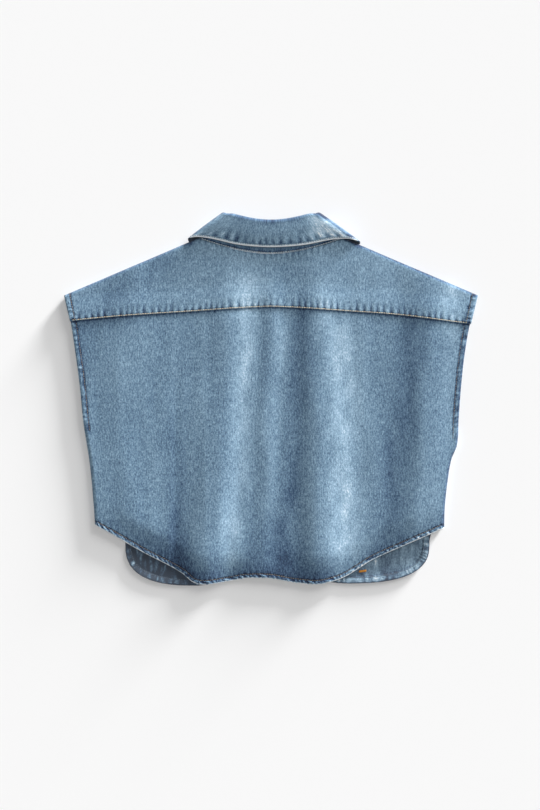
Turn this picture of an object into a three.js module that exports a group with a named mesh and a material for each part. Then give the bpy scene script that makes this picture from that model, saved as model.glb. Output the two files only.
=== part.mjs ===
// A cropped sleeveless denim shirt vest, laid flat with its back up.
// Millimetres: +X to the wearer's right, +Y to the collar, +Z up from the surface it lies on.
import * as THREE from "three";

// Cloth
const ply = 1.1; // one layer of denim
const doubled = 2 * ply; // hems, bands and collar
const gap = 0.3; // between pieces at a seam
const stepUp = ply + gap; // what lies on a panel is this much further out
const lap = 9; // a seam's overlap
const hemWidth = 7;

// Heights of the outer faces
const bodyTop = 10; // back panel, away from its folds
const neckTop = 11.2; // yoke at the neck seam
const hemTop = 6; // back hem, loose over the front hem
const flankLift = { from: 165, to: 228, high: 3.2 }; // side seams hold the hem's corners up
const edgeTurn = 4.5; // how far a side or shoulder fold reaches sideways
const foldArc = Math.PI * edgeTurn; // cloth used up by a shoulder fold

// Outline of the back, edge of the silhouette
const sides = [
  { y: -176, left: -239.6, right: 236.0 },
  { y: -149, left: -241.4, right: 236.8 },
  { y: -116, left: -244.1, right: 240.2 },
  { y: -84, left: -247.6, right: 245.6 },
  { y: -63, left: -251.0, right: 253.6 },
  { y: -30, left: -255.8, right: 255.4 },
  { y: 14, left: -260.0, right: 258.6 },
  { y: 60, left: -266.0, right: 263.6 },
  { y: 107, left: -273.2, right: 271.8 },
  { y: 142, left: -281.0, right: 281.0 },
];
const backHem = [
  { x: -240, y: -173 },
  { x: -215, y: -186.5 },
  { x: -175, y: -209.5 },
  { x: -140, y: -227.5 },
  { x: -121, y: -238.5 },
  { x: -106, y: -250.5 },
  { x: -90, y: -253.6 },
  { x: -62, y: -250.2 },
  { x: -34, y: -245.4 },
  { x: 0, y: -245.4 },
  { x: 26, y: -250.2 },
  { x: 60, y: -253.4 },
  { x: 78, y: -251.0 },
  { x: 100, y: -243.6 },
  { x: 118, y: -233 },
  { x: 139, y: -219.8 },
  { x: 177, y: -202.5 },
  { x: 215, y: -186 },
  { x: 236, y: -176.5 },
];
const yokeSeam = { middle: 125, fall: 19.5, halfWidth: 271, power: 1.5 };
const underarm = { y: -62, opens: 40 }; // side seam below, armhole above
const hemCorner = { left: -173, right: -176.5 };

// Neck and shoulders
const neck = { middle: 196.3, rise: 21.3, halfWidth: 100, power: 1.75 };
const neckPoint = new THREE.Vector2(100, 217.6);
const shoulderTip = new THREE.Vector2(281, 140.5);
const yokeFlap = 24; // how far the yoke comes round to the front
const frontNeck = { halfWidth: 78.7, low: 128, high: 203 };

// Soft folds of the back: crest position and height at the neck, the yoke seam, halfway and the hem
const folds = [
  { at: [60, 64, 69, 64], high: [0.6, 2.8, 4.6, 5.0], left: 38, right: 52 },
  { at: [205, 216, 207, 178], high: [0.8, 2.8, 3.0, 1.2], left: 44, right: 46 },
  { at: [-50, -56, -68, -88], high: [0.5, 2.4, 3.4, 5.0], left: 52, right: 34 },
  { at: [0, 3, -5, -10], high: [0, 1.2, 1.2, 0.6], left: 20, right: 20 },
  { at: [-180, -192, -197, -178], high: [0.4, 1.0, 1.4, 1.2], left: 46, right: 42 },
  { at: [-128, -129, -130, -131], high: [0, 0, -0.6, -1.2], left: 9, right: 12 },
];
const foldRows = [200, 115, -60, -245];
const hemFall = 42; // the back comes down to its hem over this length

// Front
const bandHalf = 16;
const tails = {
  left: { flank: 198.5, low: -255.2 },
  right: { flank: 215.8, low: -252.2 },
};
const tail = { flankTop: -199, lowAt: 104, square: 2.6, middle: -242.5 };
const buttons = { first: 96, pitch: 66, count: 5, collarAt: 145, across: 14, thick: 2.6 };
const dome = { high: 2.9, flat: 11, reach: 22 }; // cloth over a button
const collarPoint = new THREE.Vector2(58, 103);
const collarFront = new THREE.Vector2(10, 163); // where the collar leaf starts on its stand
const leafCross = new THREE.Vector2(113, 210); // where its edge crosses the left shoulder
const rightSpread = { out: 5.5, down: 2.5 }; // it crosses the right shoulder this much further out and down
const leafBlend = 45; // the front rises over the leaf in this length
const onLeaf = doubled + gap;

const clamp = (t) => Math.min(1, Math.max(0, t));
const lerp = (a, b, t) => a + (b - a) * t;
const smooth = (a, b, x) => {
  const t = clamp((x - a) / (b - a));
  return t * t * (3 - 2 * t);
};
const hump = (t) => (Math.abs(t) < 1 ? 0.5 + 0.5 * Math.cos(Math.PI * t) : 0);

// A smooth value from a table: rows rise in key, and column holds the value.
function along(rows, key, column, at) {
  const last = rows.length - 1;
  const slope = (i) => {
    const a = rows[Math.max(0, i - 1)];
    const b = rows[Math.min(last, i + 1)];
    return (b[column] - a[column]) / (b[key] - a[key]);
  };
  let i = 0;
  while (i < last - 1 && at > rows[i + 1][key]) i++;
  const span = rows[i + 1][key] - rows[i][key];
  const t = clamp((at - rows[i][key]) / span);
  const u = 1 - t;
  return (
    rows[i][column] * u * u * (1 + 2 * t) +
    rows[i + 1][column] * t * t * (1 + 2 * u) +
    span * t * u * (slope(i) * u - slope(i + 1) * t)
  );
}

const sideX = (y, hand) => along(sides, "y", hand, y);
const hemY = (x) => along(backHem, "x", "y", x);
const curveY = (c, x, sign) => c.middle + sign * c.far * (Math.abs(x) / c.halfWidth) ** c.power;
const yokeY = (x) => curveY({ ...yokeSeam, far: yokeSeam.fall }, x, -1);
const neckY = (x) => curveY({ ...neck, far: neck.rise }, x, 1);
const closed = (y) => 1 - smooth(underarm.y, underarm.y + underarm.opens, y);

// The shoulder line of one side, its direction and its outward normal.
const shoulderRun = shoulderTip.clone().sub(neckPoint).normalize();
const shoulderOut = new THREE.Vector2(-shoulderRun.y, shoulderRun.x);
const beyondShoulder = (x, y) =>
  new THREE.Vector2(Math.abs(x), y).sub(neckPoint).dot(shoulderOut);

// Height of the soft folds of the back.
function foldHeight(x, y) {
  let row = 0;
  while (row < foldRows.length - 2 && y < foldRows[row + 1]) row++;
  const t = smooth(foldRows[row], foldRows[row + 1], y);
  return folds.reduce((sum, f) => {
    const off = x - lerp(f.at[row], f.at[row + 1], t);
    const high = lerp(f.high[row], f.high[row + 1], t);
    return sum + high * hump(off / (off < 0 ? f.left : f.right));
  }, 0);
}

// Outer face of the back layer.
function backZ(x, y) {
  const overBands = 3.6 * (1 - smooth(bandHalf, 60, Math.abs(x)));
  const low = hemTop + overBands + flankLift.high * smooth(flankLift.from, flankLift.to, Math.abs(x));
  const toNeck = smooth(130, 205, y) * (1 - smooth(80, 170, Math.abs(x)));
  const high = lerp(bodyTop, neckTop, toNeck);
  return lerp(low, high, smooth(0, hemFall, y - hemY(x))) + foldHeight(x, y);
}
const yokeZ = (x, y) => backZ(x, y) + stepUp * (1 - smooth(lap + 1, lap + 28, y - yokeY(x)));

// How far the collar leaf and the buttons, which lie on the surface, lift the front.
function leafLift(x, y) {
  const p = new THREE.Vector2(Math.abs(x), y).sub(collarPoint);
  const cross = new THREE.Vector2(leafCross.x + (x > 0 ? rightSpread.out : 0), leafCross.y);
  const sideRun = cross.sub(collarPoint).normalize();
  const frontRun = collarFront.clone().sub(collarPoint).normalize();
  const inSide = p.x * -sideRun.y + p.y * sideRun.x;
  const inFront = p.x * frontRun.y - p.y * frontRun.x;
  return onLeaf * smooth(-leafBlend, 0, Math.min(inSide, inFront) + 5);
}
const buttonRows = Array.from({ length: buttons.count }, (_, i) => buttons.first - i * buttons.pitch);
const buttonLift = (x, y, rows) =>
  rows.reduce((most, row) => {
    const away = Math.hypot(x, y - row);
    return Math.max(most, dome.high * (1 - smooth(dome.flat, dome.reach, away)));
  }, 0);
const frontLift = (x, y) => Math.hypot(leafLift(x, y) ** 2, buttonLift(x, y, buttonRows) ** 2) ** 0.5;

// Outer face of a front panel, which is the face towards the surface.
function frontZ(x, y, hand) {
  const underFlap = (stepUp + 2 * gap) * smooth(-yokeFlap - 26, -yokeFlap - 2, beyondShoulder(x, y));
  const toBand = (hand === "left" ? onLeaf : 0.5) * (1 - smooth(bandHalf, 46, Math.abs(x)));
  return frontLift(x, y) + underFlap + toBand;
}

// A closed wall of cloth from a grid: pointAt(column, row, depth) gives a point of the outer face
// at depth 0 and of the inner face at the cloth's thickness there.
function wall(columns, rows, pointAt, thickAt) {
  const at = [];
  for (const inner of [false, true])
    for (const row of rows)
      for (const column of columns) at.push(pointAt(column, row, inner ? thickAt(column, row) : 0));
  const wide = columns.length;
  const high = rows.length;
  const face = [];
  const quad = (a, b, c, d) => face.push(a, b, c, a, c, d);
  for (let j = 0; j + 1 < high; j++)
    for (let i = 0; i + 1 < wide; i++) {
      const a = j * wide + i;
      const n = wide * high;
      quad(a, a + 1, a + 1 + wide, a + wide);
      quad(n + a, n + a + wide, n + a + 1 + wide, n + a + 1);
    }
  const rim = (a, b) => quad(b, a, a + wide * high, b + wide * high);
  for (let i = 0; i + 1 < wide; i++) {
    rim(i, i + 1);
    rim((high - 1) * wide + i + 1, (high - 1) * wide + i);
  }
  for (let j = 0; j + 1 < high; j++) {
    rim((j + 1) * wide, j * wide);
    rim(j * wide + wide - 1, (j + 1) * wide + wide - 1);
  }
  const geometry = new THREE.BufferGeometry();
  geometry.setAttribute("position", new THREE.Float32BufferAttribute(at.flatMap((p) => [p.x, p.y, p.z]), 3));
  const signedVolume = face.reduce((sum, _, k) => {
    if (k % 3) return sum;
    return sum + at[face[k]].dot(new THREE.Vector3().crossVectors(at[face[k + 1]], at[face[k + 2]]));
  }, 0);
  geometry.setIndex(signedVolume < 0 ? face.reverse() : face);
  geometry.computeVertexNormals();
  return geometry;
}

const steps = (n, from = 0, to = 1) => Array.from({ length: n + 1 }, (_, i) => lerp(from, to, i / n));

// Columns across a panel: a turn of up to a quarter at an edge that folds, and a flat run between.
const turned = (share, turn) => ({ share, turn });
const leftTurns = [90, 60, 30].map((turn) => turned(0, turn));
const rightTurns = [30, 60, 90].map((turn) => turned(1, turn));
const acrossBack = [...leftTurns, ...steps(34).map((share) => turned(share, 0)), ...rightTurns];
const sine = (turn) => Math.sin(THREE.MathUtils.degToRad(turn));
const cosine = (turn) => Math.cos(THREE.MathUtils.degToRad(turn));

// Rows up a panel, as shares of its height; a hem's rows are given in millimetres from the edge.
const hemRows = [0, hemWidth, hemWidth + 0.8];

function backPanel() {
  const kneeAt = (v, hand) => {
    const top = yokeY(hand === "left" ? -yokeSeam.halfWidth : yokeSeam.halfWidth) + lap;
    const y = lerp(hemCorner[hand], top, v);
    return sideX(y, hand) + (hand === "left" ? edgeTurn : -edgeTurn);
  };
  const xAt = (column, v) => lerp(kneeAt(v, "left"), kneeAt(v, "right"), column.share);
  const pointAt = (column, row, depth) => {
    const hand = column.share < 0.5 ? -1 : 1;
    const out = hand * edgeTurn * sine(column.turn);
    const x0 = xAt(column, 0);
    const low = hemY(x0 + out);
    const high = yokeY(xAt(column, 1)) + lap;
    const v = row.fromEdge === undefined ? lerp(hemRows.at(-1) / (high - low), 1, row.share) : row.fromEdge / (high - low);
    const y = lerp(low, high, v);
    const shut = closed(y);
    const knee = xAt(column, v);
    const top = backZ(knee, y);
    const drop = lerp(0.5, top / 2 - gap / 2, shut);
    const c = cosine(column.turn);
    return new THREE.Vector3(
      knee + hand * (edgeTurn - depth * shut) * sine(column.turn),
      y,
      top - drop * (1 - c) - depth * lerp(1, c, shut),
    );
  };
  const thickAt = (column, row) => {
    if (row.fromEdge !== undefined && row.fromEdge <= hemWidth) return doubled;
    const inArmhole = row.share > 0.42;
    return column.turn > 0 && inArmhole ? doubled : ply;
  };
  const rows = [...hemRows.map((fromEdge) => ({ fromEdge })), ...steps(16).slice(1).map((share) => ({ share }))];
  return wall(acrossBack, rows, pointAt, thickAt);
}

// The path of a front hem, from the side seam (0) round the tail to the band (1).
function frontHem(u, hand) {
  const { flank, low } = tails[hand];
  const knee = Math.abs(sideX(hemCorner[hand], hand)) - edgeTurn;
  const [inward, rounded] = [0.14, 0.56];
  if (u < inward) {
    const a = (u / inward) * (Math.PI / 2);
    return new THREE.Vector2(
      lerp(knee, flank, Math.sin(a) ** 0.9),
      lerp(hemCorner[hand], tail.flankTop, (1 - Math.cos(a)) ** 1.1),
    );
  }
  if (u < rounded) {
    const a = ((u - inward) / (rounded - inward)) * (Math.PI / 2);
    return new THREE.Vector2(
      tail.lowAt + (flank - tail.lowAt) * Math.cos(a) ** (2 / tail.square),
      tail.flankTop + (low - tail.flankTop) * Math.sin(a) ** (2 / tail.square),
    );
  }
  const t = (u - rounded) / (1 - rounded);
  return new THREE.Vector2(lerp(tail.lowAt, bandHalf + gap, t), lerp(low, tail.middle, smooth(0, 1, t)));
}

// The top of a front: its shoulder seam, then half the neckline down to the band.
function frontTop(u, seamHalf) {
  const kneeTip = shoulderTip.clone().addScaledVector(shoulderOut, -yokeFlap + lap).addScaledVector(shoulderRun, -4 - edgeTurn);
  const corner = new THREE.Vector2(bandHalf + frontNeck.halfWidth, frontNeck.high);
  if (u < seamHalf) return kneeTip.lerp(corner, u / seamHalf);
  const a = ((u - seamHalf) / (1 - seamHalf)) * (Math.PI / 2);
  return new THREE.Vector2(
    bandHalf + gap + (frontNeck.halfWidth - gap) * Math.cos(a),
    frontNeck.high - (frontNeck.high - frontNeck.low) * Math.sin(a),
  );
}

function frontPanel(hand) {
  const sign = hand === "left" ? -1 : 1;
  const seamHalf = 0.6;
  const flatAt = (u, v) => {
    const bottom = frontHem(u, hand);
    const top = frontTop(u, seamHalf);
    const ends = [frontHem(0, hand), frontHem(1, hand), frontTop(0, seamHalf), frontTop(1, seamHalf)];
    const y = lerp(ends[0].y, ends[2].y, v);
    const outer = new THREE.Vector2(Math.abs(sideX(y, hand)) - edgeTurn - 3 * (1 - closed(y)), y);
    const inner = new THREE.Vector2(bandHalf + gap, lerp(ends[1].y, ends[3].y, v));
    const blend = (k) =>
      lerp(bottom[k], top[k], v) +
      lerp(outer[k], inner[k], u) -
      lerp(lerp(ends[0][k], ends[1][k], u), lerp(ends[2][k], ends[3][k], u), v);
    return new THREE.Vector2(blend("x"), blend("y"));
  };
  const pointAt = (column, row, depth) => {
    const length = frontTop(column.share, seamHalf).y - frontHem(column.share, hand).y;
    const v = row.fromEdge === undefined ? lerp(hemRows.at(-1) / length, 1, row.share) : row.fromEdge / length;
    const p = flatAt(column.share, v);
    const shut = closed(p.y);
    const rise = shut * (backZ(sign * p.x, Math.max(p.y, hemY(sign * p.x))) / 2 - gap / 2);
    const c = cosine(column.turn);
    const x = sign * (p.x + (edgeTurn - depth * shut) * sine(column.turn));
    return new THREE.Vector3(x, p.y, frontZ(x, p.y, hand) + rise * (1 - c) + depth * lerp(1, c, shut));
  };
  const thickAt = (column, row) => {
    if (row.fromEdge !== undefined && row.fromEdge <= hemWidth) return doubled;
    return column.turn > 0 && row.share > 0.42 ? doubled : ply;
  };
  const columns = [90, 60, 30].map((turn) => turned(0, turn));
  columns.push(...steps(18).map((share) => turned(share, 0)));
  const rows = [...hemRows.map((fromEdge) => ({ fromEdge })), ...steps(17).slice(1).map((share) => ({ share }))];
  return wall(columns, rows, pointAt, thickAt);
}

// Takes a point of the flat yoke round the shoulder fold. q is its distance past the start of the fold.
function roundShoulder(x, y, depth) {
  const hand = Math.sign(x) || 1;
  const from = new THREE.Vector2(Math.abs(x), y).sub(neckPoint);
  const run = from.dot(shoulderRun);
  const q = from.dot(shoulderOut) + edgeTurn;
  const placed = (out) =>
    neckPoint.clone().addScaledVector(shoulderRun, run).addScaledVector(shoulderOut, out - edgeTurn);
  const on = (p, z) => new THREE.Vector3(hand * p.x, p.y, z);
  if (q <= 0) return on(placed(q), yokeZ(x, y) - depth);
  if (q >= foldArc) {
    const p = placed(foldArc - q);
    return on(p, leafLift(p.x, p.y) + depth);
  }
  const turn = q / edgeTurn;
  const p = placed((edgeTurn - depth) * Math.sin(turn));
  const knee = placed(0);
  const [top, bottom] = [yokeZ(hand * knee.x, knee.y), leafLift(knee.x, knee.y)];
  const half = (top - bottom) / 2;
  return on(p, (top + bottom) / 2 + (half - depth) * Math.cos(turn));
}

function yoke() {
  const flapEnd = foldArc + yokeFlap - 2 * edgeTurn; // past the silhouette, in the flat cloth
  const flapPoint = (run) =>
    neckPoint.clone().addScaledVector(shoulderRun, run).addScaledVector(shoulderOut, flapEnd);
  const shoulderLength = shoulderTip.distanceTo(neckPoint);
  const [toNeckPoint, toFlap] = [0.4, 0.46]; // shares of the half seam
  // The far end of a column of the flat yoke: on the neck, on the flap's neck edge, or on the front seam.
  const endOf = (s) => {
    if (s <= toNeckPoint) return new THREE.Vector2(lerp(0, neckPoint.x, s / toNeckPoint), 0);
    if (s <= toFlap) return neckPoint.clone().lerp(flapPoint(4.4), (s - toNeckPoint) / (toFlap - toNeckPoint));
    return flapPoint(lerp(4.4, shoulderLength - 4, (s - toFlap) / (1 - toFlap)));
  };
  const pointAt = (column, row, depth) => {
    const s = Math.abs(column);
    const sign = column < 0 ? -1 : 1;
    const end = endOf(s);
    if (s <= toNeckPoint) end.y = neckY(end.x);
    const seamX = Math.abs(sideX(107, sign < 0 ? "left" : "right")) * s ** 0.98;
    const start = new THREE.Vector2(seamX, yokeY(seamX));
    const past = beyondShoulder(end.x, end.y) + edgeTurn;
    const pastStart = beyondShoulder(start.x, start.y) + edgeTurn;
    const knee = past > 0 ? (0 - pastStart) / (past - pastStart) : 0.86;
    const share = row <= 0.6 ? (row / 0.6) * knee : lerp(knee, 1, (row - 0.6) / 0.4);
    const p = start.lerp(end, share);
    return roundShoulder(sign * Math.max(p.x, 1e-6), p.y, depth);
  };
  const half = [...steps(7, 0, toNeckPoint), ...steps(2, toNeckPoint, toFlap).slice(1), ...steps(10, toFlap, 1).slice(1)];
  const columns = [...half.slice(1).reverse().map((s) => -s), ...half];
  const rows = [...steps(7, 0, 0.6), ...steps(9, 0.6, 1).slice(1)];
  return wall(columns, rows, pointAt, () => ply);
}

// The ring of the neck, flattened: rows along the back, round the fold by degrees of turn, and along
// the front. Plan positions of the stand's seam and top, and of the leaf's edge.
const ring = {
  back: [
    { seam: [0, 196.9], top: [0, 238.2], edge: [0, 206.2] },
    { seam: [22, 198.4], top: [20, 239.6], edge: [24, 207.2] },
    { seam: [44, 201.8], top: [38, 243.0], edge: [48, 210.2] },
    { seam: [64, 206.6], top: [52, 246.6], edge: [72, 215.8] },
    { seam: [80, 211.4], top: [60, 248.2], edge: [90, 219.6] },
  ],
  fold: [
    { turn: 0, seam: [93.2, 215.8], top: [63.4, 247.6], edge: [101, 220.4] },
    { turn: 36, seam: [93.2, 215.8], top: [63, 246.4], edge: [102.6, 218.8] },
    { turn: 72, seam: [93.2, 215.8], top: [62.6, 245.4], edge: [103.8, 216.6] },
    { turn: 108, seam: [93.2, 215.8], top: [62.4, 244.4], edge: [104.6, 213.6] },
    { turn: 144, seam: [93.2, 215.8], top: [62.2, 243.2], edge: [105, 209.6] },
    { turn: 180, seam: [93.2, 215.8], top: [62, 241.8], edge: [105, 205] },
  ],
  front: [
    { seam: [93.2, 196], top: [62, 226], edge: [105, 193] },
    { seam: [87, 173], top: [57, 200], edge: [94, 173] },
    { seam: [71, 149.5], top: [47, 181], edge: [82, 150] },
    { seam: [48, 135.2], top: [30, 168.6], edge: [68, 124] },
    { seam: [16, 128.4], top: [10, 162], edge: [58, 103] },
  ],
};
const stations = [
  ...ring.back.map((row) => ({ ...row, turn: 0 })),
  ...ring.fold,
  ...ring.front.map((row) => ({ ...row, turn: 180 })),
];
const leafOut = new THREE.Vector2(0.65, 0.76); // which way the collar's fold faces at its roll

// A point between stations, by one value: 0 at the middle of the back, stations.length - 1 at the front.
function station(value) {
  const i = Math.min(stations.length - 2, Math.floor(value));
  const t = value - i;
  const [a, b] = [stations[i], stations[i + 1]];
  const mix = (key) => new THREE.Vector2(...a[key]).lerp(new THREE.Vector2(...b[key]), t);
  return { seam: mix("seam"), top: mix("top"), edge: mix("edge"), turn: lerp(a.turn, b.turn, t) };
}

// Heights of the stand's outer face, at the back and at the front.
const standBack = { seam: neckTop + 0.5, top: neckTop + 2.8 };
const standFront = onLeaf;

// A point of the stand; up goes from the seam (0) to the top (1), hand is -1 or 1.
function standPoint(value, up, depth, hand) {
  const s = station(value);
  const p = s.seam.lerp(s.top, up);
  const back = lerp(standBack.seam, standBack.top, up);
  const middle = (back + standFront) / 2;
  const half = (back - standFront) / 2;
  p.addScaledVector(shoulderOut.clone().lerp(leafOut, up), (half - depth) * sine(s.turn));
  return new THREE.Vector3(hand * p.x, p.y, middle + (half - depth) * cosine(s.turn));
}

function collarStand() {
  const last = stations.length - 1;
  const overlap = 1; // past the last station, the two ends lie on each other
  const columns = [-last - overlap, ...steps(2 * last, -last, last), last + overlap];
  const pointAt = (column, row, depth) => {
    const hand = column < 0 ? -1 : 1;
    const value = Math.abs(column);
    const p = standPoint(Math.min(value, last), row, depth, hand);
    const near = 1 - smooth(bandHalf, 46, Math.abs(p.x));
    const front = value > stations.length - 5 ? 1 : 0;
    const past = Math.max(0, value - last);
    p.x = lerp(p.x, -hand * bandHalf, past);
    if (past > 0) p.y = lerp(p.y, row === 0 ? 128.4 : 160, past);
    p.z += front * near * (dome.high - onLeaf + (hand < 0 ? onLeaf : 0));
    return p;
  };
  return wall(columns, [0, 0.5, 1], pointAt, () => doubled);
}

function collarLeaf() {
  const last = stations.length - 1;
  const columns = steps(2 * last, -last, last);
  const roll = { back: 9, front: onLeaf + doubled, out: 4.4, edge: 4, overShoulder: 4 };
  const rollRows = [0, 0.3, 0.55, 0.8, 1];
  const fallRows = [0.2, 0.45, 0.7, 0.9, 1];
  const rows = [...rollRows.map((turn) => ({ turn, fall: 0 })), ...fallRows.map((fall) => ({ turn: 1, fall }))];
  const pointAt = (column, row, depth) => {
    const hand = column < 0 ? -1 : 1;
    const s = station(Math.abs(column));
    const onBack = Math.abs(column) < ring.back.length;
    const share = onBack
      ? (column / ring.back.length) ** 2
      : clamp((s.edge.y - collarPoint.y) / (leafCross.y - collarPoint.y));
    if (hand > 0) {
      s.edge.x += rightSpread.out * share;
      s.edge.y -= rightSpread.down * share;
    }
    const start = standPoint(Math.abs(column), 1, doubled, 1);
    const toBack = (1 + cosine(s.turn)) / 2;
    const whole = lerp(roll.front, roll.back, toBack);
    const out = new THREE.Vector3(leafOut.x * sine(s.turn), leafOut.y * sine(s.turn), cosine(s.turn));
    const up = s.top.clone().sub(s.edge).normalize();
    const angle = row.turn * Math.PI;
    const half = whole / 2;
    const reach = lerp(doubled + 0.4, roll.out, toBack);
    const lift = half - (half - depth) * Math.cos(angle);
    const over = (reach - depth) * Math.sin(angle);
    const p = start.clone().addScaledVector(out, lift);
    p.x += up.x * over;
    p.y += up.y * over;
    if (row.fall > 0) {
      const edgeLift = lerp(roll.front, roll.edge, toBack) + roll.overShoulder * sine(s.turn);
      const edgeBase = new THREE.Vector3(s.edge.x, s.edge.y, start.z);
      const edge = edgeBase.addScaledVector(out, edgeLift - depth);
      edge.z = Math.max(edge.z, depth);
      p.lerp(edge, row.fall);
      p.addScaledVector(out, 0.9 * toBack * Math.sin(Math.PI * row.fall));
    }
    return new THREE.Vector3(hand * p.x, p.y, p.z);
  };
  return wall(columns, rows, pointAt, () => doubled);
}

// A front band: two layers, over its whole length. The buttonhole band lies under the button band.
function band(hand) {
  const level = hand === "left" ? onLeaf : 0;
  const pointAt = (column, row, depth) => {
    const x = column * bandHalf;
    const y = lerp(tail.middle, frontNeck.low - gap, row);
    const nearTop = smooth(frontNeck.low - 30, frontNeck.low, y);
    const lift = Math.max(frontLift(x, y), dome.high * nearTop);
    return new THREE.Vector3(x, y, level + lift + depth);
  };
  return wall([-1, -0.5, 0, 0.5, 1], steps(60), pointAt, () => doubled);
}

// A flat round button with a rim and four thread holes, its face down.
function button() {
  const radius = buttons.across / 2;
  const round = (sides, size, x, y) =>
    steps(sides).slice(1).map((t) => {
      const angle = 2 * Math.PI * t;
      return new THREE.Vector2(x + size * Math.cos(angle), y + size * Math.sin(angle));
    });
  const disc = new THREE.Shape(round(20, radius, 0, 0));
  for (const [i, j] of [[1, 1], [1, -1], [-1, 1], [-1, -1]])
    disc.holes.push(new THREE.Path(round(6, 0.9, i * 1.6, j * 1.6)));
  const chamfer = 0.5;
  return new THREE.ExtrudeGeometry(disc, {
    depth: buttons.thick - 2 * chamfer,
    bevelSize: chamfer,
    bevelOffset: -chamfer,
    bevelThickness: chamfer,
    bevelSegments: 1,
  }).translate(0, 0, chamfer);
}

const denim = new THREE.MeshStandardMaterial({ color: 0x6f8fa8, roughness: 0.9, metalness: 0 });
const horn = new THREE.MeshStandardMaterial({ color: 0xd8d2c4, roughness: 0.4, metalness: 0 });

const vest = new THREE.Group();
function piece(name, geometry, material) {
  const mesh = new THREE.Mesh(geometry, material);
  mesh.name = name;
  vest.add(mesh);
  return mesh;
}
piece("back_panel", backPanel(), denim);
piece("back_yoke", yoke(), denim);
piece("front_left", frontPanel("left"), denim);
piece("front_right", frontPanel("right"), denim);
piece("button_band_left", band("left"), denim);
piece("buttonhole_band_right", band("right"), denim);
piece("collar_stand", collarStand(), denim);
piece("collar_leaf", collarLeaf(), denim);
[buttons.collarAt, ...buttonRows].forEach((y, i) => {
  piece(`button_${i + 1}`, button(), horn).position.set(0, y, 0);
});

export default vest;
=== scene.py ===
import math
import random

import bmesh
import bpy
from mathutils import Matrix, Vector, noise


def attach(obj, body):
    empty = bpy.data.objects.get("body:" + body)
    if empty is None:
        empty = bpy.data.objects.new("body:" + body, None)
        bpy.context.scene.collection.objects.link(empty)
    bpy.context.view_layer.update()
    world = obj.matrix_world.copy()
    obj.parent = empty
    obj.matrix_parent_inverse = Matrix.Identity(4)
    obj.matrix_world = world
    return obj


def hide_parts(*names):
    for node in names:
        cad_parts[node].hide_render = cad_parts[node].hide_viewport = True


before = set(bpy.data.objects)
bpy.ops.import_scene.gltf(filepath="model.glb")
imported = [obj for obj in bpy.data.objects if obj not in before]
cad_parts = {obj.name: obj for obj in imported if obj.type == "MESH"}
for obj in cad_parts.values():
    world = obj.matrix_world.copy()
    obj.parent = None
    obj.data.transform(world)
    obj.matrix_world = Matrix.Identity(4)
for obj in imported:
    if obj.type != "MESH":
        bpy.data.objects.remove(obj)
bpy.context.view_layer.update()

scene = bpy.context.scene
mm = 0.001  # every shape below is worked out in millimetres and placed in metres

# Camera, straight above, and the photograph's frame on the floor
view = {"high": 3.0, "tall": 1.1053, "x": -0.0014, "y": -0.0092, "sensor": 36.0}
cameraData = bpy.data.cameras.new("camera")
cameraData.sensor_width = view["sensor"]
cameraData.lens = view["sensor"] * view["high"] / view["tall"]
cameraObject = bpy.data.objects.new("camera", cameraData)
cameraObject.location = (view["x"], view["y"], view["high"])
scene.collection.objects.link(cameraObject)
scene.camera = cameraObject
scene.view_settings.view_transform = "Standard"

# Light: one lamp overhead, and two broad ones past the right shoulder that throw the long soft shadow.
# floor is the share of the floor's light that each gives.
lamps = {
    "overhead": {"floor": 0.32, "wide": 14, "azimuth": 45, "elevation": 86},
    "shoulder": {"floor": 0.22, "wide": 36, "azimuth": 47, "elevation": 28},
    "low": {"floor": 0.33, "wide": 13, "azimuth": 52, "elevation": 6.8},
}
roomLight = {"strength": 0.13, "colour": (1.0, 1.0, 1.0, 1)}
floorPaper = {"size": 6.0, "pale": 0.945, "below": 0.0002}
for name, lamp in lamps.items():
    rise, turn = math.radians(lamp["elevation"]), math.radians(lamp["azimuth"])
    lampData = bpy.data.lights.new(name, "SUN")
    lampData.energy = lamp["floor"] * math.pi / math.sin(rise)
    lampData.angle = math.radians(lamp["wide"])
    lampObject = bpy.data.objects.new(name, lampData)
    lampFrom = Vector((math.cos(turn) * math.cos(rise), math.sin(turn) * math.cos(rise), math.sin(rise)))
    lampObject.rotation_euler = lampFrom.to_track_quat("Z", "Y").to_euler()
    scene.collection.objects.link(lampObject)
room = bpy.data.worlds.new("room")
room.use_nodes = True
room.node_tree.nodes["Background"].inputs["Color"].default_value = roomLight["colour"]
room.node_tree.nodes["Background"].inputs["Strength"].default_value = roomLight["strength"]
scene.world = room
print("camera and lights made")


# Small helpers

def clamp(t):
    return min(1.0, max(0.0, t))


def lerp(a, b, t):
    return a + (b - a) * t


def smooth(a, b, x):
    t = clamp((x - a) / (b - a))
    return t * t * (3 - 2 * t)


def hump(t):
    return 0.5 + 0.5 * math.cos(math.pi * t) if abs(t) < 1 else 0.0


def bell(x, wide):
    return math.exp(-((x / wide) ** 2))


def ripple(x, y, seed):
    return noise.noise((x, y, seed * 7.31))


def steps(count, start=0.0, end=1.0):
    return [lerp(start, end, i / count) for i in range(count + 1)]


def stretches(*parts):
    # steps from 0 on through each part, given its count and where it ends
    out = [0.0]
    for count, end in parts:
        out += steps(count, out[-1], end)[1:]
    return out


def lengthsAlong(line):
    # the length of a line up to each of its points
    lengths = [0.0]
    for a, b in zip(line, line[1:]):
        lengths.append(lengths[-1] + (b - a).length)
    return lengths


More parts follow.
